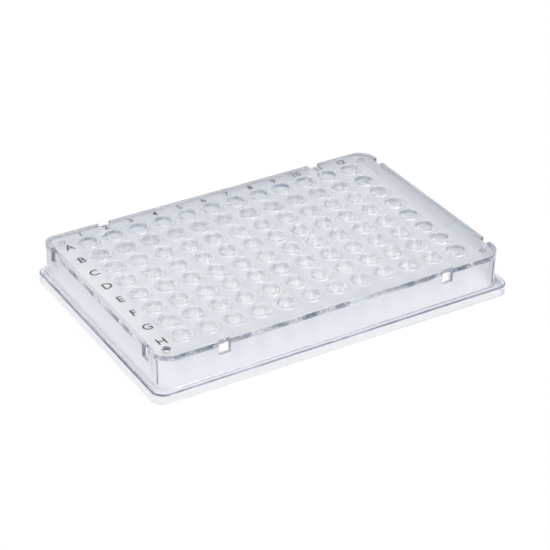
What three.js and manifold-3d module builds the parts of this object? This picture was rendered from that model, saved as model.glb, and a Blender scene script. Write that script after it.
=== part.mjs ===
// A clear well plate: 8 rows by 12 columns of conical wells hanging from a flat deck,
// inside a full skirt that ends in a wide base flange. It is moulded as one piece.
//
// Millimetres, +Z up. The origin is the centre of the footprint on the surface it stands on.
// +X runs from column 1 to column 12 and +Y from row H to row A, so well A1 is at -X, +Y.
import * as THREE from "three";
import { mergeVertices } from "three/addons/utils/BufferGeometryUtils.js";
import Module from "manifold-3d";

const wasm = await Module();
wasm.setup();

// ---- Driving dimensions ----

// base flange
const baseLength = 127.76; // along X, at the foot
const baseWidth = 85.48; // along Y, at the foot
const baseCornerR = 4.2;
const flangeHeight = 3.5;
const flangeEdgeR = 0.8; // rounded top edge of the flange
const ledge = 2.1; // step from the flange in to the upper wall

// upper wall, rim and deck
const plateHeight = 14.9; // rim and well collars end level with each other
const wallT = 1.3;
const wallCornerR = 6.0;
const wallCornerRA1 = 3.6; // the corner next to well A1 is sharper
const rimLip = 0.45; // the rim and the collars stand this far above the deck
const deckT = 1.45;

// wells
const rows = 8;
const columns = 12;
const pitch = 9.0;
const collarR = 3.7;
const boreMouthR = 2.75;
const boreNeckR = 2.65; // where the nearly straight mouth turns into the cone
const boreNeckDepth = 4.0;
const boreTipR = 1.15;
const wellWallT = 0.4;
const tipClearance = 0.8; // from the closed tip down to the surface under the plate

// open slots through the rim and wall, and round holes near the deck's corners
const slotWidth = 4.0;
const slotDepth = 4.9; // down from the rim
const slotOffsetX = 40.0; // slots in the long walls, from the middle
const cornerHoleR = 1.45;
const cornerHoleInset = 4.9; // from the outer faces of the two walls

// facets
const wellSides = 8;
const cornerSteps = 3; // each step of a round corner makes two facets
const edgeSteps = 2;
const holeSides = 10;
const overcut = 1.0; // how far a cutter reaches past the face that it opens

// ---- Derived places ----

const upperLength = baseLength - 2 * ledge;
const upperWidth = baseWidth - 2 * ledge;
const deckTop = plateHeight - rimLip;
const deckUnder = deckTop - deckT;
const ledgeUnder = flangeHeight - wallT;
const slotFloor = plateHeight - slotDepth;
const wellX = (column) => (column - (columns - 1) / 2) * pitch;
const wellY = (row) => ((rows - 1) / 2 - row) * pitch;
const slotOffsetY = wellY(0); // slots in the short walls line up with the first and last rows

// ---- Small helpers ----

// The closed solid of a geometry, with only its positions kept and shared vertices merged.
function toSolid(geometry) {
  geometry.deleteAttribute("normal");
  geometry.deleteAttribute("uv");
  const merged = mergeVertices(geometry, 1e-4);
  return new wasm.Manifold(
    new wasm.Mesh({
      numProp: 3,
      vertProperties: merged.attributes.position.array,
      triVerts: new Uint32Array(merged.index.array),
    }),
  );
}

function toGeometry(solid) {
  const mesh = solid.getMesh();
  const geometry = new THREE.BufferGeometry();
  geometry.setAttribute("position", new THREE.BufferAttribute(mesh.vertProperties, 3));
  geometry.setIndex(new THREE.BufferAttribute(mesh.triVerts, 1));
  geometry.computeVertexNormals();
  return geometry;
}

// A rectangle about the origin with round corners: cornerR everywhere, a1R at -X, +Y.
function roundedRectangle(length, width, cornerR, a1R) {
  const x = length / 2;
  const y = width / 2;
  const quarter = Math.PI / 2;
  const shape = new THREE.Shape();
  shape.moveTo(-x + cornerR, -y);
  shape.absarc(x - cornerR, -y + cornerR, cornerR, -quarter, 0);
  shape.absarc(x - cornerR, y - cornerR, cornerR, 0, quarter);
  shape.absarc(-x + a1R, y - a1R, a1R, quarter, 2 * quarter);
  shape.absarc(-x + cornerR, -y + cornerR, cornerR, 2 * quarter, 3 * quarter);
  shape.closePath();
  return shape;
}

function prism(shape, bottom, top) {
  const geometry = new THREE.ExtrudeGeometry(shape, {
    depth: top - bottom,
    bevelEnabled: false,
    curveSegments: cornerSteps,
  });
  return toSolid(geometry.translate(0, 0, bottom));
}

// The upper wall's outline, moved in by an inset.
function wallPrism(inset, bottom, top) {
  const outline = roundedRectangle(
    upperLength - 2 * inset,
    upperWidth - 2 * inset,
    wallCornerR - inset,
    wallCornerRA1 - inset,
  );
  return prism(outline, bottom, top);
}

function block(sizeX, sizeY, bottom, top, x, y) {
  const geometry = new THREE.BoxGeometry(sizeX, sizeY, top - bottom);
  return toSolid(geometry.translate(x, y, (top + bottom) / 2));
}

// Everything under a height, to cut things off flat.
function lowerBlock(top) {
  return block(2 * baseLength, 2 * baseWidth, top - 2 * plateHeight, top, 0, 0);
}

// A solid turned about a vertical axis from [radius, height] points that run from the axis
// at the bottom to the axis at the top.
function turned(points, sides, x, y) {
  const profile = points.map(([radius, height]) => new THREE.Vector2(radius, height));
  const geometry = new THREE.LatheGeometry(profile, sides);
  return toSolid(geometry.rotateX(Math.PI / 2).translate(x, y, 0));
}

// ---- The frame: flange, skirt, rim and deck ----

// The flange is drawn with both edges rounded and starts low enough that only the rounding
// of its top edge is left above the foot.
function flangeSolid() {
  const inner = roundedRectangle(
    baseLength - 2 * flangeEdgeR,
    baseWidth - 2 * flangeEdgeR,
    baseCornerR - flangeEdgeR,
    baseCornerR - flangeEdgeR,
  );
  const geometry = new THREE.ExtrudeGeometry(inner, {
    depth: flangeHeight,
    bevelThickness: flangeEdgeR,
    bevelSize: flangeEdgeR,
    bevelSegments: edgeSteps,
    curveSegments: cornerSteps,
  });
  const rounded = toSolid(geometry.translate(0, 0, -flangeEdgeR));
  return rounded.subtract(lowerBlock(0));
}

function slotCutters() {
  const top = plateHeight + overcut;
  const through = wallT + overcut;
  const wallX = upperLength / 2 - wallT + through / 2;
  const wallY = upperWidth / 2 - wallT + through / 2;
  const cutters = [];
  for (const sideX of [-1, 1]) {
    for (const sideY of [-1, 1]) {
      cutters.push(
        block(slotWidth, through, slotFloor, top, sideX * slotOffsetX, sideY * wallY),
        block(through, slotWidth, slotFloor, top, sideX * wallX, sideY * slotOffsetY),
      );
    }
  }
  return cutters;
}

function cornerHoleCutters() {
  const x = upperLength / 2 - cornerHoleInset;
  const y = upperWidth / 2 - cornerHoleInset;
  const bottom = deckUnder - overcut;
  const profile = [
    [0, bottom],
    [cornerHoleR, bottom],
    [cornerHoleR, plateHeight],
    [0, plateHeight],
  ];
  const cutters = [];
  for (const sideX of [-1, 1]) {
    for (const sideY of [-1, 1]) {
      cutters.push(turned(profile, holeSides, sideX * x, sideY * y));
    }
  }
  return cutters;
}

function frameSolid() {
  const flangeHollow = prism(
    roundedRectangle(
      baseLength - 2 * wallT,
      baseWidth - 2 * wallT,
      baseCornerR - wallT,
      baseCornerR - wallT,
    ),
    -overcut,
    ledgeUnder,
  );
  const outside = flangeSolid().add(wallPrism(0, ledgeUnder, plateHeight));
  const inside = flangeHollow.add(wallPrism(wallT, -overcut, deckUnder));
  const rimRecess = wallPrism(wallT, deckTop, plateHeight + overcut);
  let frame = outside.subtract(inside).subtract(rimRecess);
  for (const cutter of [...slotCutters(), ...cornerHoleCutters()]) {
    frame = frame.subtract(cutter);
  }
  return frame;
}

// ---- The wells ----

const boreFloor = tipClearance + wellWallT;
const boreNeckZ = plateHeight - boreNeckDepth;
const deckMiddle = (deckTop + deckUnder) / 2;
const coneSlope = (boreNeckR - boreTipR) / (boreNeckZ - boreFloor);
const boreConeR = (height) => boreTipR + coneSlope * (height - boreFloor);
const boreApex = boreFloor - boreTipR / coneSlope;
const outerApex = boreApex - wellWallT / coneSlope;

// Outside of a well: a cone that runs up into the deck, then the raised collar. Its point,
// far below the plate, is cut off flat at the tip.
const wellOutside = [
  [0, outerApex],
  [boreConeR(deckMiddle) + wellWallT, deckMiddle],
  [collarR, deckMiddle],
  [collarR, plateHeight],
  [0, plateHeight],
];

// Inside of a well: a cone, cut off flat at the floor, and a nearly straight mouth.
const mouthSlope = (boreMouthR - boreNeckR) / boreNeckDepth;
const wellBore = [
  [0, boreApex],
  [boreNeckR, boreNeckZ],
  [boreMouthR + mouthSlope * overcut, plateHeight + overcut],
  [0, plateHeight + overcut],
];

function plateSolid() {
  const belowTips = lowerBlock(tipClearance);
  const belowFloors = lowerBlock(boreFloor);
  let plate = frameSolid();
  const bores = [];
  for (let row = 0; row < rows; row += 1) {
    for (let column = 0; column < columns; column += 1) {
      const place = [wellX(column), wellY(row)];
      const outside = turned(wellOutside, wellSides, ...place);
      const bore = turned(wellBore, wellSides, ...place);
      plate = plate.add(outside.subtract(belowTips));
      bores.push(bore.subtract(belowFloors));
    }
  }
  for (const bore of bores) {
    plate = plate.subtract(bore);
  }
  return plate;
}

// ---- The part ----

const clearPlastic = new THREE.MeshStandardMaterial({
  color: 0xd9dde2,
  roughness: 0.12,
  metalness: 0,
  transparent: true,
  opacity: 0.45,
});

const plateMesh = new THREE.Mesh(toGeometry(plateSolid()), clearPlastic);
plateMesh.name = "well_plate";

const part = new THREE.Group();
part.name = "well_plate_part";
part.add(plateMesh);

export default part;
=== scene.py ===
"""The look of a clear well plate: one moulded piece with its printed row letters and column
numbers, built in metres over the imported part, whose box gives the overall sizes.

+X runs from column 1 to column 12 and +Y from row H to row A, so well A1 is at -X, +Y.
"""

import math
from typing import NamedTuple

import bmesh
import bpy
import numpy as np
from mathutils import Matrix, Vector


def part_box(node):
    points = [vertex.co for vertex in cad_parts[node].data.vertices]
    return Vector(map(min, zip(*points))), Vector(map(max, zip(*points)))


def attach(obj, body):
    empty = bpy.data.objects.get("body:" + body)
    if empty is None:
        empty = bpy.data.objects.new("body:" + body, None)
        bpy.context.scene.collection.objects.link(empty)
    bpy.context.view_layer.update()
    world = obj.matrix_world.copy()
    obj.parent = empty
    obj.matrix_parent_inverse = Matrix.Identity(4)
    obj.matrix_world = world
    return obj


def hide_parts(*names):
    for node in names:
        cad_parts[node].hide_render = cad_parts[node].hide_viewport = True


MM = 0.001

# ---- Sizes of the plate, as in the part's source ----

LEDGE = 2.1 * MM  # step from the flange in to the upper wall
BASE_CORNER_R = 4.2 * MM
FLANGE_HEIGHT = 3.5 * MM
FLANGE_EDGE_R = 0.8 * MM
WALL = 1.3 * MM
WALL_CORNER_R = 6.0 * MM
WALL_CORNER_R_A1 = 3.6 * MM
RIM_LIP = 0.45 * MM
DECK = 1.45 * MM

ROWS = 8
COLUMNS = 12
PITCH = 9.0 * MM
COLLAR_R = 3.7 * MM
MOUTH_R = 2.75 * MM
NECK_R = 2.65 * MM
NECK_DEPTH = 4.0 * MM
TIP_R = 1.15 * MM
WELL_WALL = 0.4 * MM
TIP_CLEARANCE = 0.8 * MM

SLOT_WIDTH = 4.0 * MM
SLOT_DEPTH = 4.9 * MM
SLOT_OFFSET_X = 40.0 * MM
SLOT_OFFSET_Y = 31.5 * MM
CORNER_HOLE_R = 1.45 * MM
CORNER_HOLE_INSET = 4.9 * MM

# ---- Rounding of the moulded edges ----

EDGE = 0.16 * MM
MIDDLE = 0.29  # where a rounded edge's middle lies, as a share of its radius from each face
FOOT_R = 0.7 * MM  # the hollow between the ledge and the upper wall
LEDGE_MARGIN = 0.2 * MM  # flat strip between the flange's rounded edge and the ledge
QUARTER_TURN = np.radians(np.linspace(90, 0, 5))  # the hollow and the flange's edge

FLANK = 0.5 * MM  # how far a collar leans in towards its top
FLANK_TURNS = np.radians([30, 60, 90])
BEVEL = 0.35 * MM  # width of the small bevel round a collar's foot
BEVEL_SLOPE = 0.62
BEVEL_RUNS = (0, 0.08, 0.92, 1)  # short rings at both ends keep the bevel's edges crisp
LIP_R = 0.4 * MM
LIP_TURNS = np.radians([90, 60, 30, 0])
# depth of the band of painted shade at the top of a well's bore, its darkest part
MOUTH_PAINTED_SHADE_DEPTH = 1.1 * MM  # the part of a well's bore that shows darkest
NECK_BLEND = 0.5 * MM  # half the height over which the bore turns into the cone
TIP_ROUND = 0.55 * MM
WELL_FILLET = 0.4 * MM  # where a well leaves the deck's underside

# ---- How finely the surfaces are divided ----

CELL_STEPS = 9  # along each side of the square of deck around a well
CORNER_STEPS = 11  # stations round each corner, before those of the thin lines
CORNER_CUT = 4  # grid steps of each short side that belong to the corners
MARGIN_STEPS = 3  # from the wells' block out to the wall
HOLE_STEPS = 2  # from a corner hole out to its corner's border
TOLERANCE = 1e-9  # for places and angles that are compared
WELD = 0.002 * MM  # points closer than this are one
SLIVER = 0.001 * MM  # edges shorter than this are closed up
SMOOTH_ANGLE = 50  # degrees; faces that meet under a wider angle keep a sharp edge

# degrees round each corner where a thin dark line of painted shade runs up it, darker at
# corner H12
CORNER_LINE_PAINTED_SHADE = (27, 31)
CORNER_LINE_PAINTED_SHADE_H12 = (20, 27)
CORNER_ANGLES = np.radians(
    np.union1d(np.linspace(0, 90, CORNER_STEPS), CORNER_LINE_PAINTED_SHADE + CORNER_LINE_PAINTED_SHADE_H12)
)

# ---- The plate's materials by number ----

CLEAR = 0  # the outside of the wall, and the ledge
FROSTED = 1  # the inside of the upper wall
# painted shade: broken dark patches tinted into the deck's cut edge and the corner holes on
# the left
CUT_EDGE_PAINTED_SHADE = 2  # cut edges: the deck's thickness and the corner holes on the left
# painted shade: thin dark lines along the flange's edge, the hollow in front and up the
# corners
LINE_PAINTED_SHADE = 3  # the thin steps along the ledge and up the corners
RIM = 4  # the rim on the right and at the back, and the corner holes on the right
DECK_FACE = 5  # the deck's top, and the rim in front and on the left
COLLAR = 6  # the bevel round a collar's foot
# painted shade: dark bluish patches tinted into the mouth of each well's bore
BORE_PAINTED_SHADE = 7  # the mouth of a well's bore
# painted shade: darker, bluer patches in the mouths of the wells in row A and column 12
OUTER_BORE_PAINTED_SHADE = 8  # the same in row A and column 12, which light leaves through the wall
UNDER = 9  # the wells' outsides, their tips and the deck's underside
FOOT = 10  # the flange below its rounded edge, and on round to its inside
# painted shade: dark patches tinted into the jambs and the deck's edge at the slots
JAMB_PAINTED_SHADE = 11  # the cut ends of the wall and deck at a slot
RING = 12  # the flat top of a collar and its lip
THROAT = 13  # the part of a well's bore below its mouth
FLANK_FACE = 14  # the outside of a collar
# painted shade: the darker dark line up corner H12
DARK_LINE_PAINTED_SHADE = 15  # the line up corner H12


# ---- Meshes ----


class Surface:
    """Gathers patches of points and faces, then welds them into one closed mesh."""

    def __init__(self):
        self.points = []
        self.faces = []
        self.finishes = []
        self.count = 0

    def grid(self, points, finish, keep=None):
        """Quads between neighbouring points of a (rows, columns, 3) array. finish is their
        material's number, one for all, one to a row of quads or one to a quad, and keep is
        a mask of the quads that are wanted."""
        rows, columns = points.shape[:2]
        index = self.count + np.arange(rows * columns).reshape(rows, columns)
        quads = np.stack(
            [index[:-1, :-1], index[:-1, 1:], index[1:, 1:], index[1:, :-1]], axis=-1
        )
        finish = np.asarray(finish)
        if finish.ndim < 2:
            finish = finish.reshape(-1, 1)
        finish = np.broadcast_to(finish, quads.shape[:2])
        if keep is not None:
            quads = quads[keep]
            finish = finish[keep]
        self.finishes.extend(finish.ravel().tolist())
        self.points.append(points.reshape(-1, 3))
        self.faces.extend(quads.reshape(-1, 4).tolist())
        self.count += rows * columns

    def rings(self, points, finish):
        """As grid, for rings of points whose last point joins up with the first."""
        self.grid(np.concatenate([points, points[:, :1]], axis=1), finish)

    def polygon(self, points, finish):
        """One flat face with any number of corners."""
        self.finishes.append(finish)
        self.faces.append(list(range(self.count, self.count + len(points))))
        self.points.append(points)
        self.count += len(points)

    def mesh(self, name):
        """The welded mesh, facing outwards, smooth but for its sharp edges."""
        mesh = bpy.data.meshes.new(name)
        mesh.from_pydata(np.concatenate(self.points).tolist(), [], self.faces)
        mesh.polygons.foreach_set("material_index", self.finishes)
        weld(mesh)
        mesh.shade_smooth()
        mesh.set_sharp_from_angle(angle=math.radians(SMOOTH_ANGLE))
        return mesh


def weld(mesh):
    """Merges points that lie together, drops faces that closed up, and turns all outwards."""
    work = bmesh.new()
    work.from_mesh(mesh)
    bmesh.ops.remove_doubles(work, verts=work.verts, dist=WELD)
    bmesh.ops.dissolve_degenerate(work, edges=work.edges, dist=SLIVER)
    bmesh.ops.recalc_face_normals(work, faces=work.faces)
    open_edges = sum(not edge.is_manifold for edge in work.edges)
    if open_edges:
        raise ValueError(f"{mesh.name} has {open_edges} open edges")
    work.to_mesh(mesh)
    work.free()


def level(points, height):
    """The same height given to an array of [x, y] points."""
    return np.concatenate([points, np.full(points.shape[:-1] + (1,), height)], axis=-1)


def between(inner, outer, steps, height):
    """Flat rows of points that run straight from one line of points to another."""
    share = np.linspace(0, 1, steps + 1)[:, None, None]
    return level(inner + (outer - inner) * share, height)


# ---- The plate ----


def column_x(column):
    return (column - (COLUMNS - 1) / 2) * PITCH


def row_y(row):
    return ((ROWS - 1) / 2 - row) * PITCH


def side_stations(half, slot_centre):
    """Places along a side from -half to half, one to each step of the wells' grid, with the
    nearest ones moved to the edges of the two slots."""
    count = round(2 * half / PITCH) * CELL_STEPS
    places = np.linspace(-half, half, count + 1)
    for side in (-1, 1):
        for edge in (-1, 1):
            target = side * slot_centre + edge * SLOT_WIDTH / 2
            places[np.abs(places - target).argmin()] = target
    return places


class Plate:
    """The plate's surface. Every line round the wall has the same stations: along each side
    they follow the wells' grid, and each corner is an arc. Stations run from row H's side
    at -X round through +X, so they turn anticlockwise seen from above."""

    def __init__(self, low, high):
        self.base_x = high.x
        self.base_y = high.y
        self.top = high.z
        self.wall_x = self.base_x - LEDGE
        self.wall_y = self.base_y - LEDGE
        self.deck_top = self.top - RIM_LIP
        self.deck_under = self.deck_top - DECK
        self.slot_floor = self.top - SLOT_DEPTH
        self.block_x = COLUMNS * PITCH / 2
        self.block_y = ROWS * PITCH / 2
        self.grid_x = np.linspace(-self.block_x, self.block_x, COLUMNS * CELL_STEPS + 1)
        self.grid_y = np.linspace(-self.block_y, self.block_y, ROWS * CELL_STEPS + 1)
        self.long = side_stations(self.block_x, SLOT_OFFSET_X)
        short = side_stations(self.block_y, SLOT_OFFSET_Y)
        self.short = short[CORNER_CUT - 1 : 1 - CORNER_CUT]
        arc = len(CORNER_ANGLES)
        counts = [len(self.long), arc, len(self.short), arc]
        # the first station of row H's side, its +X corner, the +X side and so on round
        self.starts = np.cumsum([0] + counts + counts)
        self.surface = Surface()

    def outline(self, half_x, half_y, radii):
        """Points of a rounded rectangle at every station: straight along its sides, and its
        corners' centres plus r cos a and r sin a. radii go round from H1."""
        corners = []
        for turn, radius in enumerate(radii):
            sign_x = (-1, 1, 1, -1)[turn]
            sign_y = (-1, -1, 1, 1)[turn]
            angle = CORNER_ANGLES + math.pi + turn * math.pi / 2
            centre = [sign_x * (half_x - radius), sign_y * (half_y - radius)]
            corners.append(centre + radius * np.stack([np.cos(angle), np.sin(angle)], -1))
        sides = [
            np.stack([self.long, np.full_like(self.long, -half_y)], -1),
            np.stack([np.full_like(self.short, half_x), self.short], -1),
            np.stack([self.long[::-1], np.full_like(self.long, half_y)], -1),
            np.stack([np.full_like(self.short, -half_x), self.short[::-1]], -1),
        ]
        order = [sides[0], corners[1], sides[1], corners[2], sides[2], corners[3]]
        return np.concatenate(order + [sides[3], corners[0]])

    def wall_line(self, inset):
        """Outline of the upper wall moved in by an inset."""
        radii = [WALL_CORNER_R, WALL_CORNER_R, WALL_CORNER_R, WALL_CORNER_R_A1]
        radii = [radius - inset for radius in radii]
        return self.outline(self.wall_x - inset, self.wall_y - inset, radii)

    def base_line(self, inset):
        """Outline of the base flange moved in by an inset."""
        radii = [BASE_CORNER_R - inset] * 4
        return self.outline(self.base_x - inset, self.base_y - inset, radii)

    def profile(self):
        """Lines round the plate, from the deck's top edge over the rim, down the outside,
        under the foot and up the inside to the deck's underside. A rounded edge or hollow
        of radius r is a quarter circle: r(1 - cos a) in and r(1 - sin a) up or down. Returns
        the lines as one (line, station, 3) array, and the number of the line at the slots'
        floors."""
        wall = self.wall_line
        base = self.base_line
        top = self.top
        near = MIDDLE * EDGE
        ledge_under = FLANGE_HEIGHT - WALL
        lines = [
            level(wall(WALL), self.deck_top),
            level(wall(WALL), top - EDGE),
            level(wall(WALL - near), top - near),
            level(wall(WALL - EDGE), top),
            level(wall(EDGE), top),
            level(wall(near), top - near),
            level(wall(0), top - EDGE),
            level(wall(0), self.deck_under),
            level(wall(0), self.slot_floor),
        ]
        floor_line = len(lines) - 1
        for angle in QUARTER_TURN[::-1]:
            out = FOOT_R * (1 - math.cos(angle))
            rise = FOOT_R * (1 - math.sin(angle))
            lines.append(level(wall(-out), FLANGE_HEIGHT + rise))
        lines.append(level(base(FLANGE_EDGE_R + LEDGE_MARGIN), FLANGE_HEIGHT))
        for angle in QUARTER_TURN:
            inset = FLANGE_EDGE_R * (1 - math.cos(angle))
            drop = FLANGE_EDGE_R * (1 - math.sin(angle))
            lines.append(level(base(inset), FLANGE_HEIGHT - drop))
        lines += [
            level(base(0), EDGE),
            level(base(near), near),
            level(base(EDGE), 0),
            level(base(WALL - EDGE), 0),
            level(base(WALL - near), near),
            level(base(WALL), EDGE),
            level(base(WALL), ledge_under - EDGE),
            level(base(WALL + near), ledge_under - near),
            level(base(WALL + EDGE), ledge_under),
            level(wall(WALL - EDGE), ledge_under),
            level(wall(WALL - near), ledge_under + near),
            level(wall(WALL), ledge_under + EDGE),
            level(wall(WALL), self.slot_floor),
            level(wall(WALL), self.deck_under),
        ]
        return np.stack(lines), floor_line

    def slots(self):
        """(first, last) station of each slot, found where both of its edges are."""
        line = self.wall_line(0)
        on_long = np.abs(np.abs(line[:, 1]) - self.wall_y) < TOLERANCE
        on_short = np.abs(np.abs(line[:, 0]) - self.wall_x) < TOLERANCE
        half = SLOT_WIDTH / 2 + TOLERANCE
        found = []
        for side in (-1, 1):
            for end in (-1, 1):
                along_x = np.abs(line[:, 0] - side * SLOT_OFFSET_X) < half
                along_y = np.abs(line[:, 1] - side * SLOT_OFFSET_Y) < half
                for inside in (
                    on_long & along_x & (line[:, 1] * end > 0),
                    on_short & along_y & (line[:, 0] * end > 0),
                ):
                    places = np.flatnonzero(inside)
                    found.append((places[0], places[-1]))
        return found

    def add_wall(self):
        """Rim, wall, ledge and foot as a sweep of the profile, with the slots cut through:
        each slot leaves out the quads above its floor, and gets a floor, the deck's edge
        and two flat jambs instead."""
        lines, floor_line = self.profile()
        lines = np.concatenate([lines, lines[:, :1]], axis=1)
        keep = np.ones((lines.shape[0] - 1, lines.shape[1] - 1), bool)
        inner_floor = lines.shape[0] - 2
        for first, last in self.slots():
            keep[:floor_line, first:last] = False
            keep[inner_floor, first:last] = False
            span = slice(first, last + 1)
            self.surface.grid(lines[[floor_line, inner_floor], span], CLEAR)
            # painted shade on the deck's edge and the jambs at the slot
            self.surface.grid(lines[[0, -1], span], JAMB_PAINTED_SHADE)
            for edge in (first, last):
                round_jamb = list(range(floor_line + 1)) + [inner_floor, -1]
                self.surface.polygon(lines[round_jamb, edge], JAMB_PAINTED_SHADE)
        # the rows of quads, from the rim down: the rim itself, the deck's cut edge, the wall,
        # the hollow at its foot, the flange's rounded edge, and on round to the inside
        cut_edge = 6
        foot_end = floor_line + 4  # the lowest row of the hollow
        flange_line = foot_end + 4  # the second row of the flange's rounded edge
        front_end = self.starts[2]
        back_end = self.starts[6]
        finish = np.full(keep.shape, CLEAR)
        finish[:cut_edge] = DECK_FACE
        finish[:cut_edge, front_end:back_end] = RIM
        # painted shade: broken dark patches along the deck's cut edge
        finish[cut_edge] = CUT_EDGE_PAINTED_SHADE
        # painted shade: dark lines along the hollow in front and the flange's rounded edge
        finish[foot_end, :front_end] = LINE_PAINTED_SHADE
        finish[flange_line : flange_line + 2] = LINE_PAINTED_SHADE
        finish[flange_line + 2 : -2] = FOOT
        finish[-2:] = FROSTED
        # painted shade: a thin dark line up each corner, darker up corner H12
        corners = self.starts[1:8:2]
        for corner in corners:
            span, line = CORNER_LINE_PAINTED_SHADE, LINE_PAINTED_SHADE
            if corner == corners[0]:
                span, line = CORNER_LINE_PAINTED_SHADE_H12, DARK_LINE_PAINTED_SHADE
            near, far = corner + np.searchsorted(CORNER_ANGLES, np.radians(span) - TOLERANCE)
            finish[cut_edge + 1 : floor_line + 1, near:far] = line
        self.surface.grid(lines, finish, keep)

    def add_margins(self):
        """The deck between the wells' block and the wall, on top and underneath: straight
        rows of quads along the sides, and in each corner a ring of quads from the edge of
        its hole out to the corner's border."""
        wall = self.wall_line(WALL)
        long_count = len(self.long)
        short_count = len(self.short)
        starts = self.starts
        block_x = self.block_x
        block_y = self.block_y
        short_grid = self.grid_y[CORNER_CUT:-CORNER_CUT]
        inner_sides = [
            np.stack([self.grid_x, np.full_like(self.grid_x, -block_y)], -1),
            np.stack([np.full_like(short_grid, block_x), short_grid], -1),
            np.stack([self.grid_x[::-1], np.full_like(self.grid_x, block_y)], -1),
            np.stack([np.full_like(short_grid, -block_x), short_grid[::-1]], -1),
        ]
        wall_sides = [
            wall[starts[0] : starts[0] + long_count],
            wall[starts[2] + 1 : starts[2] + short_count - 1],
            wall[starts[4] : starts[4] + long_count],
            wall[starts[6] + 1 : starts[6] + short_count - 1],
        ]
        for height, finish in ((self.deck_top, DECK_FACE), (self.deck_under, UNDER)):
            for inner, outer in zip(inner_sides, wall_sides):
                self.surface.grid(between(inner, outer, MARGIN_STEPS, height), finish)
        for turn in range(4):
            side = inner_sides[turn]
            after = inner_sides[(turn + 1) % 4]
            corner_x = block_x * (1, 1, -1, -1)[turn]
            corner_y = block_y * (-1, 1, 1, -1)[turn]
            corner = np.array([corner_x, corner_y])
            # round the corner on the wall, from the end of one margin to the next's start
            first = starts[2 * turn] + (long_count - 1, short_count - 2)[turn % 2]
            outer = wall[(first + np.arange(len(CORNER_ANGLES) + 3)) % len(wall)]
            share = np.linspace(0, 1, MARGIN_STEPS + 1)[1:-1, None]
            down = outer[-1] + (after[0] - outer[-1]) * share
            up = side[-1] + (outer[0] - side[-1]) * share
            steps = np.linspace(0, 1, CORNER_CUT + 1)[:, None]
            if turn % 2 == 0:
                inner = after[0] + (corner - after[0]) * steps
            else:
                inner = corner + (side[-1] - corner) * steps
            loop = np.concatenate([outer, down, inner, up])
            centre = np.array(
                [
                    math.copysign(self.wall_x - CORNER_HOLE_INSET, corner_x),
                    math.copysign(self.wall_y - CORNER_HOLE_INSET, corner_y),
                ]
            )
            angle = np.arctan2(loop[:, 1] - centre[1], loop[:, 0] - centre[0])
            ring = centre + CORNER_HOLE_R * np.stack([np.cos(angle), np.sin(angle)], -1)
            for height, finish in ((self.deck_top, DECK_FACE), (self.deck_under, UNDER)):
                self.surface.rings(between(ring, loop, HOLE_STEPS, height), finish)
            # the corner holes' cut edges: painted shade on the left, the rim's finish on the
            # right
            self.surface.rings(
                np.stack([level(ring, self.deck_top), level(ring, self.deck_under)]),
                CUT_EDGE_PAINTED_SHADE if corner_x < 0 else RIM,
            )

    def well_profiles(self):
        """Rings of one well, each with its radius, its height and the finish of the band
        that leads to it: over the collar and down the bore, and then below the deck and
        round the closed tip. The collar's foot is a bevel, its flank and its lip are quarter
        ellipses in the turn, r cos a and h sin a, and the bore and the cone are straight."""
        near = MIDDLE * TIP_ROUND
        top = self.top
        floor = TIP_CLEARANCE + WELL_WALL
        neck = top - NECK_DEPTH
        slope = (NECK_R - TIP_R) / (neck - floor)
        flare = (MOUTH_R - NECK_R) / NECK_DEPTH
        rise = top - self.deck_top
        bevel_rise = BEVEL * BEVEL_SLOPE

        def throat(height):
            return MOUTH_R - flare * (top - height), height

        def cone(height):
            return TIP_R + slope * (height - floor), height

        def outside(height, fillet=0.0):
            return cone(height)[0] + WELL_WALL + fillet, height

        def band(finish, rings):
            return [(radius, height, finish) for radius, height in rings]

        bevel = [
            (COLLAR_R + BEVEL - run * BEVEL, self.deck_top + run * BEVEL * BEVEL_SLOPE)
            for run in BEVEL_RUNS
        ]
        flank = [
            (
                COLLAR_R - FLANK * (1 - math.cos(turn)),
                self.deck_top + bevel_rise + (rise - bevel_rise) * math.sin(turn),
            )
            for turn in FLANK_TURNS
        ]
        lip = [
            (MOUTH_R + LIP_R * (1 - math.cos(turn)), top - LIP_R * (1 - math.sin(turn)))
            for turn in LIP_TURNS
        ]
        bore = [
            throat(self.deck_under),
            throat(neck + NECK_BLEND),
            cone(neck - NECK_BLEND),
            cone(floor + TIP_ROUND),
        ]
        above = [
            *band(DECK_FACE, bevel[:1]),
            *band(COLLAR, bevel[1:]),
            *band(FLANK_FACE, flank),
            *band(RING, lip[:-1]),
            # painted shade in the mouth of the bore
            *band(BORE_PAINTED_SHADE, [lip[-1], throat(top - MOUTH_PAINTED_SHADE_DEPTH)]),
            *band(THROAT, bore),
            *band(UNDER, [(TIP_R - near, floor + near), (TIP_R - TIP_ROUND, floor)]),
        ]
        under = self.deck_under
        tip_radius = outside(TIP_CLEARANCE)[0]
        below = band(
            UNDER,
            [
                outside(under, WELL_FILLET),
                outside(under - WELL_FILLET),
                outside(TIP_CLEARANCE + TIP_ROUND),
                (tip_radius - near, TIP_CLEARANCE + near),
                (tip_radius - TIP_ROUND, TIP_CLEARANCE),
            ],
        )
        return above, below

    def add_wells(self):
        """Every well: its rings turned about its axis, r cos a and r sin a, with the square
        of deck round it divided at the same angles."""
        count = 4 * CELL_STEPS
        angle = np.arange(count) * 2 * math.pi / count - 0.75 * math.pi
        circle = np.stack([np.cos(angle), np.sin(angle)], -1)
        run = np.linspace(-PITCH / 2, PITCH / 2, CELL_STEPS + 1)[:-1]
        edge = np.full_like(run, PITCH / 2)
        square = np.concatenate(
            [
                np.stack([run, -edge], -1),
                np.stack([edge, run], -1),
                np.stack([-run, edge], -1),
                np.stack([-edge, -run], -1),
            ]
        )
        above, below = self.well_profiles()
        for profile, deck_height in ((above, self.deck_top), (below, self.deck_under)):
            radii, heights, inner_finish = (np.array(part) for part in zip(*profile))
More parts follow.
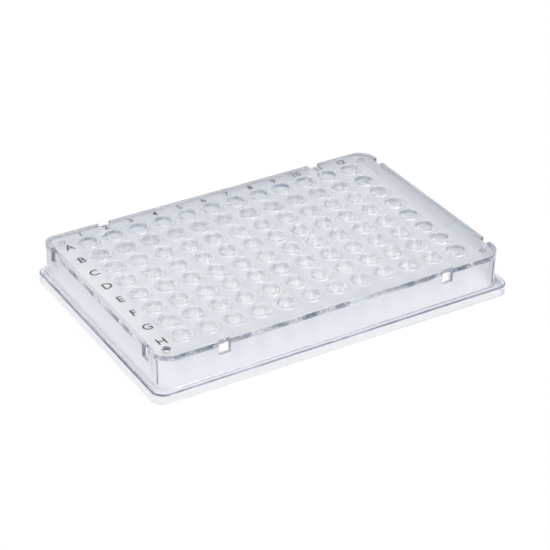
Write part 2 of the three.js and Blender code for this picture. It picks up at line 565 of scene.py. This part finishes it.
            # painted shade: the wells of row A and column 12 get the darker mouth
            outer_painted_shade_finish = np.where(inner_finish == BORE_PAINTED_SHADE, OUTER_BORE_PAINTED_SHADE, inner_finish)
            rings = [level(circle * r, h) for r, h in zip(radii, heights)]
            shape = np.stack([level(square, deck_height), *rings])
            for row in range(ROWS):
                for column in range(COLUMNS):
                    centre = [column_x(column), row_y(row), 0]
                    outer = row == 0 or column == COLUMNS - 1
                    finish = outer_painted_shade_finish if outer else inner_finish
                    self.surface.rings(shape + centre, finish)
                    self.surface.polygon(shape[-1] + centre, UNDER)

    def build(self):
        self.add_wells()
        self.add_margins()
        self.add_wall()
        return self.surface.mesh("plate")


# ---- Nodes ----


class Value:
    """A socket of a node tree. Arithmetic on values adds Math nodes, so that a pattern is
    written as a plain formula."""

    def __init__(self, nodes, socket):
        self.nodes = nodes
        self.socket = socket

    def __add__(self, other):
        return self.nodes.maths("ADD", self, other)

    def __mul__(self, other):
        return self.nodes.maths("MULTIPLY", self, other)

    __radd__ = __add__
    __rmul__ = __mul__


class Nodes:
    """The node tree of a material or a world, emptied and then filled node by node."""

    def __init__(self, owner):
        owner.use_nodes = True
        self.tree = owner.node_tree
        self.tree.nodes.clear()

    def add(self, kind, settings, inputs):
        """Adds one node. The settings come first, and then each input, known by its name or
        its number, gets a value or a link. Returns the outputs by name."""
        node = self.tree.nodes.new("ShaderNode" + kind)
        for name, setting in settings.items():
            setattr(node, name, setting)
        enabled = {socket.name: socket for socket in node.inputs if socket.enabled}
        for name, value in inputs.items():
            socket = node.inputs[name] if isinstance(name, int) else enabled[name]
            if isinstance(value, Value):
                self.tree.links.new(value.socket, socket)
            elif socket.type == "RGBA":
                socket.default_value = (*value, 1)
            else:
                socket.default_value = value
        outputs = [socket for socket in node.outputs if socket.enabled]
        return {socket.name: Value(self, socket) for socket in outputs}

    def maths(self, operation, first, second):
        return self.add("Math", {"operation": operation}, {0: first, 1: second})["Value"]

    def noise(self, place, size, detail):
        """Smooth noise from 0 to 1 whose features are about a size across, in metres."""
        inputs = {"Vector": place, "Scale": 1 / size, "Detail": detail}
        return self.add("TexNoise", {}, inputs)["Fac"]

    def finish(self, kind, shader):
        self.add("Output" + kind, {}, {"Surface": shader})


# ---- Materials ----

PLASTIC_IOR = 1.58
DRIFT_SPREAD = 8  # how much broader the second of a tint's two noises is
HAZE_PATCH = 5 * MM
INK_GRAIN = 0.3 * MM


class Look(NamedTuple):
    """A finish of the clear plastic. Sizes are in mm."""

    name: str
    tint: tuple  # two colours that it drifts between
    haze: tuple  # least and greatest roughness
    clear: float  # how much light goes through rather than scatters
    bend: float = 1.0  # share of the face that bends light
    patch: float = 14  # size of the tint's patches
    parting: float = 1.0  # how sharply the patches part
    wave: tuple = (4, 0.012)  # size and height of the waves in the face


LOOKS = {
    CLEAR: Look(
        "wall_look",
        tint=((0.83, 0.855, 0.9), (0.8, 0.825, 0.88)),
        haze=(0.015, 0.05),
        clear=0.75,
    ),
    FROSTED: Look(
        "inner_wall_look",
        tint=((0.95, 0.96, 0.99), (0.9, 0.92, 0.96)),
        haze=(0.33, 0.38),
        clear=1.0,
        wave=(0.4, 0.004),
    ),
    # painted shade: broken dark patches in the tint
    CUT_EDGE_PAINTED_SHADE: Look(
        "cut_edge_painted_shade_look",
        tint=((0.05, 0.07, 0.12), (0.78, 0.82, 0.88)),
        haze=(0.08, 0.12),
        clear=0.7,
        patch=0.7,
        parting=4.5,
    ),
    # painted shade: thin dark lines in the tint
    LINE_PAINTED_SHADE: Look(
        "line_painted_shade_look",
        tint=((0.08, 0.1, 0.17), (0.4, 0.43, 0.52)),
        haze=(0.1, 0.2),
        clear=0.35,
        patch=6,
        parting=2.0,
    ),
    RIM: Look(
        "rim_look",
        tint=((0.7, 0.72, 0.75), (0.63, 0.65, 0.68)),
        haze=(0.08, 0.12),
        clear=0.6,
    ),
    DECK_FACE: Look(
        "deck_look",
        tint=((0.68, 0.715, 0.74), (0.635, 0.67, 0.7)),
        haze=(0.12, 0.16),
        clear=0.5,
        bend=0.75,
    ),
    COLLAR: Look(
        "collar_look",
        tint=((0.56, 0.59, 0.65), (0.68, 0.71, 0.75)),
        haze=(0.02, 0.04),
        clear=0.5,
        patch=2,
        parting=1.5,
    ),
    # painted shade: dark bluish patches in the tint
    BORE_PAINTED_SHADE: Look(
        "bore_painted_shade_look",
        tint=((0.36, 0.39, 0.56), (0.75, 0.8, 0.85)),
        haze=(0.08, 0.12),
        clear=0.8,
        bend=0.35,
        patch=2.5,
        parting=2.5,
    ),
    # painted shade: dark blue patches in the tint
    OUTER_BORE_PAINTED_SHADE: Look(
        "outer_bore_painted_shade_look",
        tint=((0.05, 0.11, 0.2), (0.67, 0.73, 0.81)),
        haze=(0.08, 0.12),
        clear=1.0,
        bend=0.8,
        patch=2,
        parting=4.0,
    ),
    UNDER: Look(
        "under_look",
        tint=((0.82, 0.855, 0.885), (0.88, 0.905, 0.925)),
        haze=(0.12, 0.16),
        clear=1.0,
        bend=0.2,
    ),
    FOOT: Look(
        "foot_look",
        tint=((0.95, 0.96, 0.98), (0.92, 0.93, 0.96)),
        haze=(0.015, 0.05),
        clear=0.75,
    ),
    # painted shade: dark patches in the tint
    JAMB_PAINTED_SHADE: Look(
        "jamb_painted_shade_look",
        tint=((0.22, 0.25, 0.34), (0.55, 0.58, 0.68)),
        haze=(0.08, 0.12),
        clear=0.7,
        patch=1.3,
        parting=2.0,
    ),
    RING: Look(
        "ring_look",
        tint=((0.58, 0.61, 0.67), (0.74, 0.78, 0.81)),
        haze=(0.08, 0.12),
        clear=0.7,
        bend=0.9,
        patch=2,
        parting=1.5,
    ),
    THROAT: Look(
        "throat_look",
        tint=((0.62, 0.69, 0.78), (0.72, 0.78, 0.85)),
        haze=(0.08, 0.12),
        clear=1.0,
        bend=0.3,
        patch=5,
        parting=1.5,
    ),
    FLANK_FACE: Look(
        "flank_look",
        tint=((0.54, 0.57, 0.64), (0.72, 0.75, 0.79)),
        haze=(0.04, 0.08),
        clear=0.8,
        bend=0.4,
        patch=1.5,
        parting=3.0,
        wave=(4, 0.006),
    ),
    # painted shade: the dark line up corner H12
    DARK_LINE_PAINTED_SHADE: Look(
        "dark_line_painted_shade_look",
        tint=((0.03, 0.035, 0.07), (0.1, 0.11, 0.17)),
        haze=(0.2, 0.3),
        clear=0.3,
        patch=6,
        parting=2.0,
    ),
}


def plastic(look):
    """Clear moulded plastic. The mean of a fine and a broad noise, stretched about its
    middle, drifts the tint between two colours, another noise drifts the haze between two
    values, and a last one makes the face wavy."""
    material = bpy.data.materials.new(look.name)
    nodes = Nodes(material)
    place = nodes.add("TexCoord", {}, {})["Object"]
    fine = nodes.noise(place, look.patch * MM, 2)
    broad = nodes.noise(place, DRIFT_SPREAD * look.patch * MM, 1)
    stretch = {
        "Value": 0.5 * (fine + broad),
        "From Min": 0.5 - 0.5 / look.parting,
        "From Max": 0.5 + 0.5 / look.parting,
    }
    drift = nodes.add("MapRange", {"interpolation_type": "SMOOTHSTEP"}, stretch)["Result"]
    tints = {"Factor": drift, "A": look.tint[0], "B": look.tint[1]}
    least, greatest = look.haze
    wave_size, wave_height = look.wave
    waves = {
        "Strength": 1.0,
        "Distance": wave_height * MM,
        "Height": nodes.noise(place, wave_size * MM, 1),
    }
    surface = {
        "Base Color": nodes.add("Mix", {"data_type": "RGBA"}, tints)["Result"],
        "Roughness": least + (greatest - least) * nodes.noise(place, HAZE_PATCH, 4),
        "IOR": PLASTIC_IOR,
        "Transmission Weight": look.clear,
        "Alpha": look.bend,
        "Normal": nodes.add("Bump", {}, waves)["Normal"],
    }
    nodes.finish("Material", nodes.add("BsdfPrincipled", {}, surface)["BSDF"])
    return material


def ink():
    """Matt black printing ink, a little uneven in how it covers."""
    material = bpy.data.materials.new("black_ink")
    nodes = Nodes(material)
    place = nodes.add("TexCoord", {}, {})["Object"]
    cover = nodes.noise(place, INK_GRAIN, 3)
    tints = {"Factor": cover, "A": (0.006, 0.006, 0.008), "B": (0.035, 0.036, 0.04)}
    surface = {
        "Base Color": nodes.add("Mix", {"data_type": "RGBA"}, tints)["Result"],
        "Roughness": 0.35 + 0.3 * cover,
    }
    nodes.finish("Material", nodes.add("BsdfPrincipled", {}, surface)["BSDF"])
    return material


# ---- Print ----

LETTER_HEIGHT = 3.4 * MM
NUMBER_HEIGHT = 2.6 * MM
CAP_SHARE = 0.729  # a capital's height as a share of the text size
PRINT_THICKNESS = 0.012 * MM
PRINT_WEIGHT = 0.03 * MM
PRINT_CURVE_STEPS = 4
PRINT_WELD = 0.0001 * MM
LETTERS_X = -56.2 * MM
NUMBERS_Y = 37.4 * MM


def printed(name, marks, cap_height, bottom):
    """Marks as one flat mesh: each is its text and the [x, y] of its middle."""
    scene = bpy.context.scene
    work = bmesh.new()
    for text, x, y in marks:
        curve = bpy.data.curves.new(name, "FONT")
        curve.body = text
        curve.size = cap_height / CAP_SHARE
        curve.align_x = "CENTER"
        curve.align_y = "CENTER"
        curve.extrude = PRINT_THICKNESS / 2
        curve.offset = PRINT_WEIGHT
        curve.resolution_u = PRINT_CURVE_STEPS
        shape = bpy.data.objects.new(name, curve)
        scene.collection.objects.link(shape)
        drawn = shape.evaluated_get(bpy.context.evaluated_depsgraph_get())
        mesh = bpy.data.meshes.new_from_object(drawn)
        bpy.data.objects.remove(shape)
        mesh.transform(Matrix.Translation((x, y, bottom + PRINT_THICKNESS / 2)))
        work.from_mesh(mesh)
    bmesh.ops.remove_doubles(work, verts=work.verts, dist=PRINT_WELD)
    bmesh.ops.recalc_face_normals(work, faces=work.faces)
    mesh = bpy.data.meshes.new(name)
    work.to_mesh(mesh)
    work.free()
    return mesh


# ---- The pieces ----


def piece(name, mesh, materials):
    """An object for a mesh, riding on the plate's one body."""
    for material in materials:
        mesh.materials.append(material)
    made = bpy.data.objects.new(name, mesh)
    bpy.context.scene.collection.objects.link(made)
    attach(made, "root")
    return made


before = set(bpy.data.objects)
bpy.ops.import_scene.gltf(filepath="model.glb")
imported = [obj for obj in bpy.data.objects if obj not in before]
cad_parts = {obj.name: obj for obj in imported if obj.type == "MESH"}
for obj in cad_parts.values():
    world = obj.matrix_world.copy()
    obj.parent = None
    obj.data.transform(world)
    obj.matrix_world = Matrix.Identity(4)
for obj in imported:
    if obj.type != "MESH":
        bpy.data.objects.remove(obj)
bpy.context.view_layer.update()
low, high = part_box("well_plate")

looks = [plastic(LOOKS[number]) for number in range(len(LOOKS))]
plate = piece("plate", Plate(low, high).build(), looks)
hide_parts("well_plate")

black = ink()
deck_top = high.z - RIM_LIP
row_marks = [(chr(ord("A") + row), LETTERS_X, row_y(row)) for row in range(ROWS)]
column_marks = [
    (str(column + 1), column_x(column), NUMBERS_Y) for column in range(COLUMNS)
]
letters = printed("row_letters", row_marks, LETTER_HEIGHT, deck_top)
numbers = printed("column_numbers", column_marks, NUMBER_HEIGHT, deck_top)
piece("row_letters", letters, [black])
piece("column_numbers", numbers, [black])

# ---- Camera ----

TARGET = Vector((-0.0022, -0.0058, 0.0075))
AZIMUTH = math.radians(-30.72)
ELEVATION = math.radians(31.18)
ROLL = math.radians(0.343)
DISTANCE = 0.6167
SENSOR = 36
FOCAL_LENGTH = 126.7
NEAREST = 0.01

back = Vector(
    (
        math.sin(AZIMUTH) * math.cos(ELEVATION),
        -math.cos(AZIMUTH) * math.cos(ELEVATION),
        math.sin(ELEVATION),
    )
)
level_right = Vector((math.cos(AZIMUTH), math.sin(AZIMUTH), 0))
level_up = back.cross(level_right)
right = math.cos(ROLL) * level_right + math.sin(ROLL) * level_up
up = back.cross(right)
lens = bpy.data.cameras.new("camera")
lens.sensor_width = SENSOR
lens.lens = FOCAL_LENGTH
lens.clip_start = NEAREST
camera = bpy.data.objects.new("camera", lens)
axes = Matrix((right, up, back)).transposed().to_4x4()
camera.matrix_world = Matrix.Translation(TARGET + back * DISTANCE) @ axes
bpy.context.scene.collection.objects.link(camera)
bpy.context.scene.camera = camera
bpy.context.scene.view_settings.view_transform = "Standard"

# ---- Floor and light ----

FLOOR_HALF = 3.0
FLOOR_COLOUR = 0.9
FLOOR_GLOW = 0.95  # share of the floor that shows as plain white rather than lit paper
WHITE = (1, 1, 1)
SKY_COLOUR = (0.95, 0.96, 0.98)
SHADE_COLOUR = (0.10, 0.12, 0.18)
SHADE_AZIMUTH = 25
SHADE_ELEVATION = 30
SHADE_ANGLES = (20, 40)
BOX_STRENGTH = 10.0
BOX_AZIMUTH = -30
BOX_ELEVATION = 70
BOX_ANGLES = (10, 13)
LIGHT_BOUNCES = 32
DIFFUSE_BOUNCES = 8

cycles = bpy.context.scene.cycles
cycles.max_bounces = LIGHT_BOUNCES
cycles.transmission_bounces = LIGHT_BOUNCES
cycles.glossy_bounces = LIGHT_BOUNCES
cycles.diffuse_bounces = DIFFUSE_BOUNCES
cycles.transparent_max_bounces = LIGHT_BOUNCES

signs = ((-1, -1), (1, -1), (1, 1), (-1, 1))
corners = [(x * FLOOR_HALF, y * FLOOR_HALF, 0) for x, y in signs]
floor_mesh = bpy.data.meshes.new("floor")
floor_mesh.from_pydata(corners, [], [(0, 1, 2, 3)])
floor = bpy.data.objects.new("floor", floor_mesh)
bpy.context.scene.collection.objects.link(floor)

paper = bpy.data.materials.new("white_paper")
nodes = Nodes(paper)
paper.cycles.emission_sampling = "NONE"  # its glow is a backdrop, not a lamp
ray = nodes.add("LightPath", {}, {})
seen = nodes.maths("MAXIMUM", ray["Is Camera Ray"], ray["Is Transmission Ray"])
seen = nodes.maths("MAXIMUM", seen, ray["Is Glossy Ray"])
lit = nodes.add("BsdfDiffuse", {}, {"Color": (FLOOR_COLOUR,) * 3})["BSDF"]
white = nodes.add("Emission", {}, {"Color": WHITE, "Strength": 1.0})["Emission"]
mixed = nodes.add("MixShader", {}, {0: seen * FLOOR_GLOW, 1: lit, 2: white})["Shader"]
nodes.finish("Material", mixed)
floor_mesh.materials.append(paper)

studio = bpy.data.worlds.new("studio")
nodes = Nodes(studio)
direction = nodes.add("TexCoord", {}, {})["Generated"]


def patch(azimuth, elevation, angles):
    """1 within the first angle of a direction, all in degrees, falling to 0 at the second."""
    azimuth = math.radians(azimuth)
    elevation = math.radians(elevation)
    middle = (
        math.cos(azimuth) * math.cos(elevation),
        math.sin(azimuth) * math.cos(elevation),
        math.sin(elevation),
    )
    near = nodes.add("VectorMath", {"operation": "DOT_PRODUCT"}, {0: direction, 1: middle})
    limits = {
        "Value": near["Value"],
        "From Min": math.cos(math.radians(angles[1])),
        "From Max": math.cos(math.radians(angles[0])),
    }
    return nodes.add("MapRange", {"interpolation_type": "SMOOTHSTEP"}, limits)["Result"]


shade = patch(SHADE_AZIMUTH, SHADE_ELEVATION, SHADE_ANGLES)
softbox = patch(BOX_AZIMUTH, BOX_ELEVATION, BOX_ANGLES)
tints = {"Factor": shade, "A": SKY_COLOUR, "B": SHADE_COLOUR}
light = {
    "Color": nodes.add("Mix", {"data_type": "RGBA"}, tints)["Result"],
    "Strength": 1 + BOX_STRENGTH * softbox,
}
lit = nodes.add("Background", {}, light)["Background"]
white = nodes.add("Background", {}, {"Color": WHITE, "Strength": 1.0})["Background"]
camera_ray = nodes.add("LightPath", {}, {})["Is Camera Ray"]
mixed = nodes.add("MixShader", {}, {0: camera_ray, 1: lit, 2: white})["Shader"]
nodes.finish("World", mixed)
bpy.context.scene.world = studio
